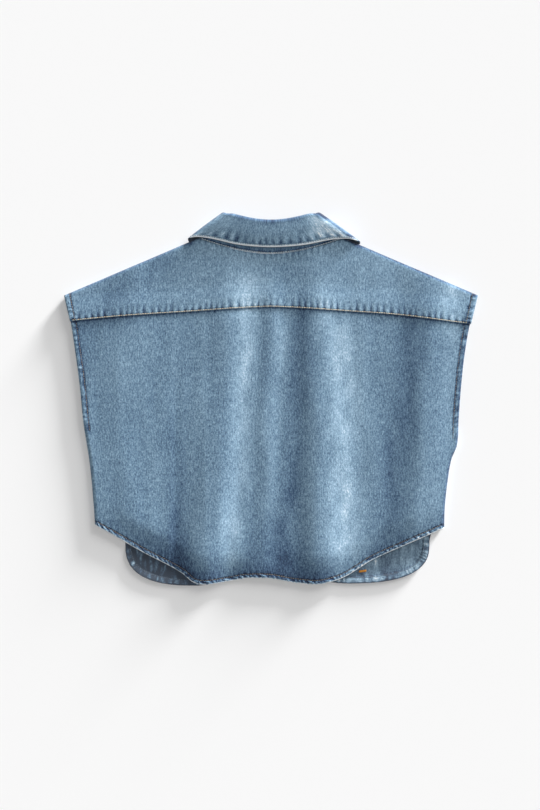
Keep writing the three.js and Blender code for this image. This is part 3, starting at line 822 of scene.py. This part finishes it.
def frontPlaceOf(hand):
    hemRun = lengthsAlong([frontHem(share, hand) for share in steps(hemParts)])
    deepest = frontHemRows[-1]
    corners = [frontEdge(0, hand, deepest), frontEdge(1, hand, deepest), frontTop(0), frontTop(1)]

    def flatAt(u, v):
        bottom, top = frontEdge(u, hand, deepest), frontTop(u)
        y = lerp(corners[0].y, corners[2].y, v)
        outer = abs(sideX(y, hand)) - edgeTurn - 3 * (1 - closed(y)) - lerp(corners[0].x, corners[2].x, v)
        inner = bandSide - lerp(corners[1].x, corners[3].x, v)
        p = bottom.lerp(top, v)
        p.x += outer * (1 - smooth(0, cornerEnd, u)) + inner * smooth(frontNeck["from"], 1, u)
        fan = (bottom - frontHem(u, hand)) / deepest - Vector((0, 1))
        return p + fan * fanOut * v * (1 - v) ** 5

    def place(column, row):
        share, turn = column
        kind, value = row
        away = value if kind == "hem" else deepest + 100 * value
        p = frontEdge(share, hand, value) if kind == "hem" else flatAt(share, value)
        lean, level = math.sin(math.radians(turn)), math.cos(math.radians(turn))
        shut = closed(p.y)
        x = hand * (p.x + edgeTurn * lean)
        rise = shut * (backZ(hand * p.x, max(p.y, hemY(hand * p.x))) / 2 - solid["gap"] / 2)
        toFlap = pastShoulder(x, p.y) + yokePiece["flap"]
        under = (stepUp + 0.6) * smooth(-26, -2, toFlap)
        toBand = (onLeaf if hand < 0 else 0.5) * (1 - smooth(bandHalf, 46, abs(x)))
        z = frontLift(x, p.y) + under + toBand + rise * (1 - level)
        along = hemRun[round(share * hemParts)] + 300 * hand
        height, wear = hemmed(along, away, frontHemRoll, frontHemPull)
        z += max(0.0, height) * (1 - shut * lean) * 0.9
        z += tail["curl"] * smooth(15, 0, away) * smooth(-186, -214, p.y) * smooth(70, 110, p.x)
        pale = wear + 0.3 * ripple(x / 30, p.y / 90, 8 + hand)
        pale -= 0.45 * bell(away - 10.5, 2.0)
        if hand > 0:
            pale += 1.2 * bell(x - 143, 2.6) - 0.8 * bell(x - 155, 7) + 0.25 * smooth(165, 200, x) + 0.25
        else:
            # the left tail is painted darker, as painted shade from the back's hem
            pale += 0.6 * bell(x + 131, 4.0) + 0.35 * smooth(-150, -120, x) - 0.65
            pale += 2.4 * ripple(x / 3.2, p.y / 20, 19)
        pale += 1.2 * ripple(x / 4.5, p.y / 16, 14)
        fromSide = abs(sideX(p.y, hand)) - abs(x) - armholeRoll["wide"]
        gape = (1 - shut) * bell(fromSide, 1.0)
        hemShare = 1.0 if away < frontHemRoll["wide"] + 0.1 or (shut < 0.5 and fromSide < 0.8) else 0.0
        return Vector((x, p.y, z)), Vector((x, p.y)), pale - 0.4 * gape, hemShare

    return place


frontColumns = [(0.0, turn) for turn in turns]
frontColumns += [(share, 0) for share in stretches((60, 0.3), (84, 1))]
frontRows = hemThenUp(frontHemRows, steps(76)[1:])
frontLeft = layCloth(
    "front_left_cloth", frontColumns, frontRows, frontPlaceOf(-1), "front_left", -1,
    materials=(outerDenim, shadedDenim),
)
frontRight = layCloth("front_right_cloth", frontColumns, frontRows, frontPlaceOf(1), "front_right", -1)


# Bands down the front

bandRoll = {**frontHemRoll, "wide": 4.6, "high": 0.12, "body": 0.0}


def bandPlaceOf(hand):
    level = onLeaf if hand < 0 else 0.0

    def place(column, row):
        x = column * bandHalf
        y = lerp(tail["middle"], bandTop, row)
        lift = max(frontLift(x, y), dome["high"] * smooth(98, 128, y))
        edge = bandHalf - abs(x)
        height, wear = roped(y + 700, edge, bandRoll)
        pale = wear + 0.25 * ripple(x / 20, y / 60, 12) - 0.3 * bell(edge - 5.5, 0.8)
        return Vector((x, y, level + lift + max(0.0, height))), Vector((x, y)), pale, 1.0

    return place


bandColumns = [i / 16 for i in range(-16, 17)]
buttonBand = layCloth("button_band_cloth", bandColumns, steps(150), bandPlaceOf(-1), "button_band_left", -1)
holeBand = layCloth(
    "buttonhole_band_cloth", bandColumns, steps(220), bandPlaceOf(1), "buttonhole_band_right", -1
)


# Collar: stations round the neck, from the middle of the back to the front.
# Each is the stand's seam, the stand's top and the leaf's edge in plan, and how far it has turned under.

stations = [
    (0, 196.9, 0, 238.2, 0, 206.2, 0), (22, 198.4, 20, 239.6, 24, 207.2, 0),
    (44, 201.8, 38, 243.0, 48, 210.2, 0), (64, 206.6, 52, 246.6, 72, 215.8, 0),
    (80, 211.4, 60, 248.2, 90, 219.6, 0), (93.2, 215.8, 63.4, 247.6, 101, 220.4, 0),
    (93.2, 215.8, 63.0, 246.4, 102.6, 218.8, 36), (93.2, 215.8, 62.6, 245.4, 103.8, 216.6, 72),
    (93.2, 215.8, 62.4, 244.4, 104.6, 213.6, 108), (93.2, 215.8, 62.2, 243.2, 105, 209.6, 144),
    (93.2, 215.8, 62, 241.8, 105, 205, 180), (93.2, 196, 62, 226, 105, 193, 180),
    (87, 173, 57, 200, 94, 173, 180), (71, 149.5, 47, 181, 82, 150, 180),
    (48, 135.2, 30, 168.6, 68, 124, 180), (16, 128.4, 10, 162, 58, 103, 180),
]
lastStation = len(stations) - 1
standHeights = {"seam": solid["neckTop"] + 0.5, "top": solid["neckTop"] + 2.8, "front": onLeaf}
leafRoll = {
    "back": 9.0, "front": onLeaf + solid["doubled"], "out": 4.4, "edge": 4.0,
    "overShoulder": 4.0, "share": 0.26, "ease": 0.9, "wing": {-1: 4.8, 1: 8.0},
}
standDeep = 44
standFoot, standHead = 128.4, 160  # y of the stand's end on the front
leafPull = {"pitch": 11.0, "reach": 10.5, "high": 0.35, "wear": 0.95, "dark": 0.5, "seed": 17}
standPull = {"pitch": 7.5, "reach": 4.0, "high": 0.12, "wear": 0.25, "dark": 0.0, "seed": 18}


def mirrored(i):
    if i >= 0:
        return stations[min(i, lastStation)]
    row = stations[-i]
    return (-row[0], row[1], -row[2], row[3], -row[4], row[5], row[6])


def station(value):
    i = min(lastStation - 1, int(value))
    t = value - i
    a, b, c, d = (mirrored(i + k) for k in (-1, 0, 1, 2))
    out = []
    for k in range(7):
        bend = 2 * b[k] + (c[k] - a[k]) * t
        bend += (2 * a[k] - 5 * b[k] + 4 * c[k] - d[k]) * t * t
        bend += (3 * b[k] - a[k] - 3 * c[k] + d[k]) * t ** 3
        out.append(bend / 2)
    turn = math.radians(min(180.0, max(0.0, out[6])))
    return Vector(out[0:2]), Vector(out[2:4]), Vector(out[4:6]), turn


ringLength = [0.0]
for i in range(1, lastStation * 10 + 1):
    here, before = station(i / 10), station((i - 1) / 10)
    gone = ((here[0] - before[0]).length + (here[1] - before[1]).length) / 2
    ringLength.append(ringLength[-1] + gone + 4.6 * (here[3] - before[3]))


def standPoint(value, up, depth):
    seam, top, _, turn = station(value)
    p = seam.lerp(top, up)
    back = lerp(standHeights["seam"], standHeights["top"], up)
    middle, half = (back + standHeights["front"]) / 2, (back - standHeights["front"]) / 2
    p += shoulderOut.lerp(leafOut, up) * (half - depth) * math.sin(turn)
    return Vector((p.x, p.y, middle + (half - depth) * math.cos(turn))), turn


def standPlace(column, row):
    hand, value = (-1 if column < 0 else 1), abs(column)
    held = min(value, lastStation)
    along = hand * ringLength[round(held * 10)] + 300
    away = row * standDeep
    pull, wear = puckers(along, away, standPull)
    p, turn = standPoint(held, row, -pull)
    p.x *= hand
    near = 1 - smooth(bandHalf, 46, abs(p.x))
    past = max(0.0, value - lastStation)
    p.x = lerp(p.x, -hand * bandHalf, past)
    p.y = lerp(p.y, lerp(standFoot, standHead, row), past)
    if value > lastStation - 4:
        p.z += near * (dome["high"] - (onLeaf if hand > 0 else 0.0))
    # the stand is painted dark as the leaf's shadow on it, with a pale worn line at its seam
    pale = wear + 3.0 * bell(away - 0.4, 0.85) - 1.4 + 1.1 * smooth(2.2, 4.6, away)
    pale += 0.2 * ripple(along / 18, row * 3, 21)
    return p, Vector((along, away)), pale, 1.0


def leafPoint(column, row):
    hand, value = (-1 if column < 0 else 1), abs(column)
    seam, top, edge, turn = station(value)
    share = (value / 5) ** 2 if value < 5 else clamp((edge.y - stations[-1][5]) / 107)
    if hand > 0:
        edge.x += 5.5 * share
        edge.y -= 2.5 * share
    edge += Vector((1, -0.7)) * leafRoll["wing"][hand] * math.sin(turn)
    start = standPoint(value, 1, solid["doubled"])[0]
    toBack = (1 + math.cos(turn)) / 2
    edge.y -= 1.2 * toBack
    out = Vector((leafOut.x * math.sin(turn), leafOut.y * math.sin(turn), math.cos(turn)))
    up = (top - edge).normalized()
    whole = lerp(leafRoll["front"], leafRoll["back"], toBack) - 2.2 * math.sin(turn)
    along = hand * ringLength[round(value * 10)] * 1.1 + 300
    rolled = row / leafRoll["share"]  # 1 where the roll ends and the leaf falls
    fall = clamp((row - leafRoll["share"]) / (1 - leafRoll["share"]))
    angle = math.pi * clamp(rolled)
    away = (1 - fall) * (top - edge).length
    front = 1 - toBack
    pull, wear = puckers(along, away - 3.5, leafPull)
    wear *= smooth(3, 6, away)
    bulge = pull * smooth(3, 7, away) - 0.3 * bell(away - 2.7, 0.8)
    sag = ripple(along / 40, row * 2.0, 23)
    bulge += 0.5 * sag * smooth(0.2, 0.5, fall) * toBack
    over = lerp(solid["doubled"] + 0.4, leafRoll["out"], toBack) * math.sin(angle)
    p = start + out * (whole / 2 - whole / 2 * math.cos(angle))
    p.x += up.x * over
    p.y += up.y * over
    if fall > 0:
        edgeLift = lerp(leafRoll["front"], leafRoll["edge"], toBack)
        edgeLift += leafRoll["overShoulder"] * math.sin(turn)
        base = Vector((edge.x, edge.y, start.z)) + out * edgeLift
        base.z = max(base.z, 0.0)
        p = p.lerp(base, fall)
        p += out * (0.9 * toBack * math.sin(math.pi * fall))
    lift = bulge if front < 0.9 else -max(bulge, 0.0)
    p += out * (lift - rounded(away))
    p.z = max(p.z, 0.0)
    pale = wear + 3.8 * bell(away - 0.6, 1.25) * smooth(0.35, 0.08, front)
    pale -= 0.3 * bell(away - 3.9, 0.9)
    pale += 0.06 + 0.28 * ripple(along / 22, away / 9, 25) + 0.2 * sag
    pale += 0.9 * smooth(34, 66, hand * p.x) * smooth(2, 9, away)
    # painted shade on the leaf's turned-under parts and where it turns over the shoulder
    pale -= 1.6 * smooth(0.08, 0.4, front) * smooth(16, 5, away)
    turned = smooth(0, 0.3, math.sin(turn)) if hand > 0 else math.sin(turn)
    pale -= (0.7 if hand < 0 else 1.7) * turned * smooth(3, 9, away)
    # painted light on the leaf's left end, which the lamps leave in shade
    pale += 0.25 * smooth(-30, -80, hand * p.x)
    # painted shade on the roll's top, toning down the lamps' light on it
    pale -= 0.9 * smooth(1.3, 0.75, rolled)
    if hand > 0:
        pale += 0.35 * smooth(48, 60, p.x) * smooth(9, 15, away)
        # painted shade on the right end's roll where the lamps light it
        pale -= 1.6 * smooth(1.9, 1.2, rolled) * smooth(3.6, 4.6, value)
    p.x *= hand
    return p, Vector((along, away)), pale, 1.0


def leafPlace(column, row):
    # the leaf, eased where it turns over the shoulder
    p, flat, pale, hem = leafPoint(column, row)
    if 3 < abs(column) < 11:
        ease = leafRoll["ease"] * smooth(3, 4, abs(column)) * smooth(11, 10, abs(column))
        p = (p * 2 + leafPoint(column - ease, row)[0] + leafPoint(column + ease, row)[0]) / 4
    return p, flat, pale, hem


def ringColumns(perStation, last):
    return [i / perStation for i in range(-last * perStation, last * perStation + 1)]


standColumns, leafColumns = ringColumns(10, lastStation + 1), ringColumns(10, lastStation)
collarStand = layCloth("collar_stand_cloth", standColumns, steps(22), standPlace, "collar_stand", 1)
leafRows = stretches((14, leafRoll["share"]), (30, 0.9), (12, 1))
collarLeaf = layCloth("collar_leaf_cloth", leafColumns, leafRows, leafPlace, "collar_leaf", 1)
# Sewing: each stitch is a short rounded length of thread, sunk at its ends

underSink = 0.36  # how much deeper the stitches of a face that lies down are sunk


def sew(name, lines, material, stitch):
    bm = bmesh.new()
    draw = random.Random(len(name))
    for line, facing in lines:
        lengths = lengthsAlong(line)
        count = int(lengths[-1] / stitch["pitch"])
        k = 0
        for i in range(count):
            at = (i + 0.5) * stitch["pitch"]
            while k < len(lengths) - 2 and lengths[k + 1] < at:
                k += 1
            t = (at - lengths[k]) / (lengths[k + 1] - lengths[k])
            run = (line[k + 1] - line[k]).normalized()
            side = facing.cross(run).normalized()
            lift = run.cross(side)
            sunk = underSink if facing.z < 0 else 0
            middle = line[k].lerp(line[k + 1], t) + lift * (stitch["lift"] - sunk)
            run = (run + side * draw.uniform(-0.06, 0.06)).normalized()
            size = (stitch["long"] / 2 * draw.uniform(0.93, 1.05), stitch["wide"] / 2, stitch["high"] / 2)
            axes = Matrix([run * size[0], side * size[1], lift * size[2]]).transposed().to_4x4()
            bmesh.ops.create_uvsphere(
                bm, u_segments=6, v_segments=4, radius=mm,
                matrix=Matrix.Translation(middle * mm) @ axes @ Matrix.Rotation(math.pi / 2, 4, "Y"),
            )
    for face in bm.faces:
        face.smooth = True
    bmesh.ops.recalc_face_normals(bm, faces=bm.faces)
    piece = pieceFrom(name, bm, [material])
    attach(piece, "root")
    print(name, "sewn")


upward, downward = Vector((0, 0, 1)), Vector((0, 0, -1))
topStitch = {"pitch": 3.3, "long": 2.9, "wide": 0.95, "high": 0.7, "lift": 0.12}


def laidOn(top, x, y):
    return Vector((x, y, top(x, y)[0]))


fromYokeEdge = 1.4
seamLine = [laidOn(yokeTop, x, yokeY(x) + fromYokeEdge) for x in steps(540, -270.5, 269)]
sew("yoke_seam_stitches", [(seamLine, upward)], tanThread, {**topStitch, "long": 3.2, "wide": 1.15})

hemLine = []
for x in steps(480, -236, 232.5):
    slope = (hemY(x + 2) - hemY(x - 2)) / 4
    hemLine.append(laidOn(backTop, x, hemY(x) + backHemRoll["wide"] * math.hypot(1, slope)))
sew("back_hem_stitches", [(hemLine, upward)], brownThread, topStitch)

armholeFoot = {-1: -44, 1: -55}
armholeLines = []
for hand in (-1, 1):
    rise = steps(160, armholeFoot[hand], yokeY(yokeSeam["half"] * hand) - 1)
    lower = [laidOn(backTop, sideX(y, hand) - hand * armholeRoll["wide"], y) for y in rise]
    armholeLines.append((lower, upward))
    column = hand * (1 - armholeRoll["wide"] / yokeHalfWide)
    upper = [yokePlace(column, row)[0] for row in steps(120, 0.02, 0.995)]
    split = max(range(len(upper)), key=lambda i: abs(upper[i].x) + upper[i].y * 2)
    armholeLines.append((upper[:split], upward))
    armholeLines.append((upper[split + 1:], downward))
sew("armhole_stitches", armholeLines, brownThread, topStitch)


def ringLine(place, row, first, last):
    return [place(value, row)[0] for value in steps(600, first, last)]


turnHeight = 6.5


def outwardParts(line):
    # splits a line round the collar where it turns under
    parts, current, facing = [], [line[0]], None
    for a, b in zip(line, line[1:]):
        now = upward if (a.z + b.z) / 2 > turnHeight else downward
        if facing is not None and now is not facing:
            parts.append((current, facing))
            current = [a]
        facing = now
        current.append(b)
    parts.append((current, facing))
    return [part for part in parts if len(part[0]) > 3]


leafEdgeRow, standSeamRow = 1 - 0.055, 0.022
collarLines = outwardParts(ringLine(leafPlace, leafEdgeRow, -lastStation + 0.15, lastStation - 0.15))
standLines = outwardParts(ringLine(standPlace, standSeamRow, -lastStation, lastStation))
sew("collar_edge_stitches", collarLines, paleThread, topStitch)
sew("collar_stand_stitches", standLines, paleThread, topStitch)

frontHemLines = []
for hand in (-1, 1):
    place = frontPlaceOf(hand)
    inside, outside = [], []
    for u in steps(420, 0.01, 0.995):
        at = place((u, 0), ("hem", frontHemRoll["wide"] - 0.8))[0]
        inside.append(at + upward * cloth["hem"])
        outside.append(at)
    frontHemLines += [(inside, upward), (outside, downward)]
sew("front_hem_stitches", frontHemLines, slateThread, topStitch)

holePlace = bandPlaceOf(1)
bandColumn = 1 - 5.0 / bandHalf
bandLines = []
for side in (-1, 1):
    bandLines.append(([holePlace(side * bandColumn, v)[0] for v in steps(300, 0.004, 0.996)], downward))
sew("band_stitches", bandLines, tanThread, topStitch)

shoulderLines = []
for hand in (-1, 1):
    row = 1 - 2.0 / 40
    shoulderLines.append(([yokePlace(hand * s, row)[0] for s in steps(260, 0.47, 0.985)], downward))
sew("shoulder_seam_stitches", shoulderLines, tanThread, topStitch)

# Bar of gold thread inside the right front's tail
bartack = {"x": 125.0, "y": -235.6, "long": 9.0, "wide": 3.9, "bars": 10, "turn": 6}
bars = []
ground = solid["doubled"] + 0.1
for i in range(bartack["bars"]):
    x = bartack["x"] + (i / (bartack["bars"] - 1) - 0.5) * bartack["long"]
    y = bartack["y"] + (x - bartack["x"]) * math.tan(math.radians(bartack["turn"]))
    half = bartack["wide"] / 2
    bars.append(([Vector((x - 0.3, y - half, ground)), Vector((x + 0.3, y + half, ground))], upward))
barStitch = {"pitch": bartack["wide"] - 0.1, "long": bartack["wide"], "wide": 1.2, "high": 0.9, "lift": 0.2}
sew("bartack", bars, goldThread, barStitch)

# Buttonholes and buttons, on the face that lies down
hole = {"long": 17.2, "stitches": 26, "from": 0.5, "to": 2.6}
holeLines = []
for y in buttonRows:
    for side in (-1, 1):
        for i in range(hole["stitches"]):
            at = y - hole["long"] / 2 + hole["long"] * i / (hole["stitches"] - 1)
            z = holePlace(side * 0.09, (at - tail["middle"]) / (bandTop - tail["middle"]))[0].z
            inner, outer = (Vector((side * hole[end], at, z)) for end in ("from", "to"))
            holeLines.append(([inner, outer], downward))
holeStitch = {"pitch": 2.0, "long": 2.1, "wide": 0.75, "high": 0.6, "lift": 0.1}
sew("buttonhole_stitches", holeLines, tanThread, holeStitch)

buttonForm = {"rim": 7.0, "thick": 2.5, "dish": 0.7, "holeAt": 1.5, "hole": 0.85}


def hornFinish():
    f = Finish("button_horn")
    place = f.add("ShaderNodeTexCoord", out=3)
    cloud = f.noise(place, (240, 420, 240), 3.0) * 1.8 + 0.5
    shade = f.mixed(cloud.held(), srgb(222, 214, 198), srgb(188, 174, 150))
    return f.end({"Base Color": shade, "Roughness": 0.32, "Coat Weight": 0.3})


horn = hornFinish()


def makeButton(name, node, y):
    b = buttonForm
    bm = bmesh.new()
    profile = [
        (0.01, b["dish"]), (4.2, b["dish"]), (4.8, 0.25), (5.6, 0.0), (6.5, 0.15), (b["rim"], 0.8),
        (6.9, 1.7), (6.2, b["thick"]), (3.0, b["thick"] + 0.05), (0.01, b["thick"]),
    ]
    chain = [bm.verts.new((x, 0, z)) for x, z in profile]
    edges = [bm.edges.new(pair) for pair in zip(chain, chain[1:])]
    bmesh.ops.spin(
        bm, geom=chain + edges, cent=(0, 0, 0), axis=(0, 0, 1), angle=2 * math.pi, steps=36, use_merge=True,
    )
    bmesh.ops.remove_doubles(bm, verts=bm.verts, dist=0.02)
    for i, j in ((1, 1), (1, -1), (-1, 1), (-1, -1)):
        bmesh.ops.create_cone(
            bm, cap_ends=True, segments=10, radius1=b["hole"], radius2=b["hole"], depth=0.3,
            matrix=Matrix.Translation((b["holeAt"] * i, b["holeAt"] * j, b["dish"])),
        )
    bmesh.ops.recalc_face_normals(bm, faces=bm.faces)
    for face in bm.faces:
        face.smooth = len(face.verts) == 4
        face.material_index = 1 if len(face.verts) > 4 else 0
    bmesh.ops.transform(bm, matrix=Matrix.Translation((0, y * mm, 0)) @ Matrix.Scale(mm, 4), verts=bm.verts)
    piece = pieceFrom(name, bm, [horn, brownThread])
    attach(piece, "root")
    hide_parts(node)


buttonStitch = {"pitch": 3.7, "long": 3.8, "wide": 0.6, "high": 0.6, "lift": 0.0}
buttonThreads = []
for i, y in enumerate([buttonAt["stand"]] + buttonRows):
    makeButton(f"shirt_button_{i + 1}", f"button_{i + 1}", y)
    for x in (-buttonForm["holeAt"], buttonForm["holeAt"]):
        for shift in (-0.3, 0.3):
            ends = [Vector((x + shift, y + side * buttonStitch["long"] / 2, 0.55)) for side in (-1, 1)]
            buttonThreads.append((ends, downward))
sew("button_threads", buttonThreads, tanThread, buttonStitch)

# Floor
bm = bmesh.new()
bmesh.ops.create_grid(bm, x_segments=1, y_segments=1, size=floorPaper["size"] / 2)
bmesh.ops.translate(bm, verts=bm.verts, vec=(0, 0, -floorPaper["below"]))
f = Finish("paper_floor")
pale = floorPaper["pale"]
fibre = f.noise(f.add("ShaderNodeTexCoord", out=3), (400, 400, 400), 2.0)
tooth = f.add("ShaderNodeBump", None, {"Height": fibre, "Strength": 0.03, "Distance": 0.0001})
paper = {"Base Color": (pale, pale, pale, 1), "Roughness": 0.95, "Specular IOR Level": 0.0, "Normal": tooth}
floor = pieceFrom("floor", bm, [f.end(paper)])
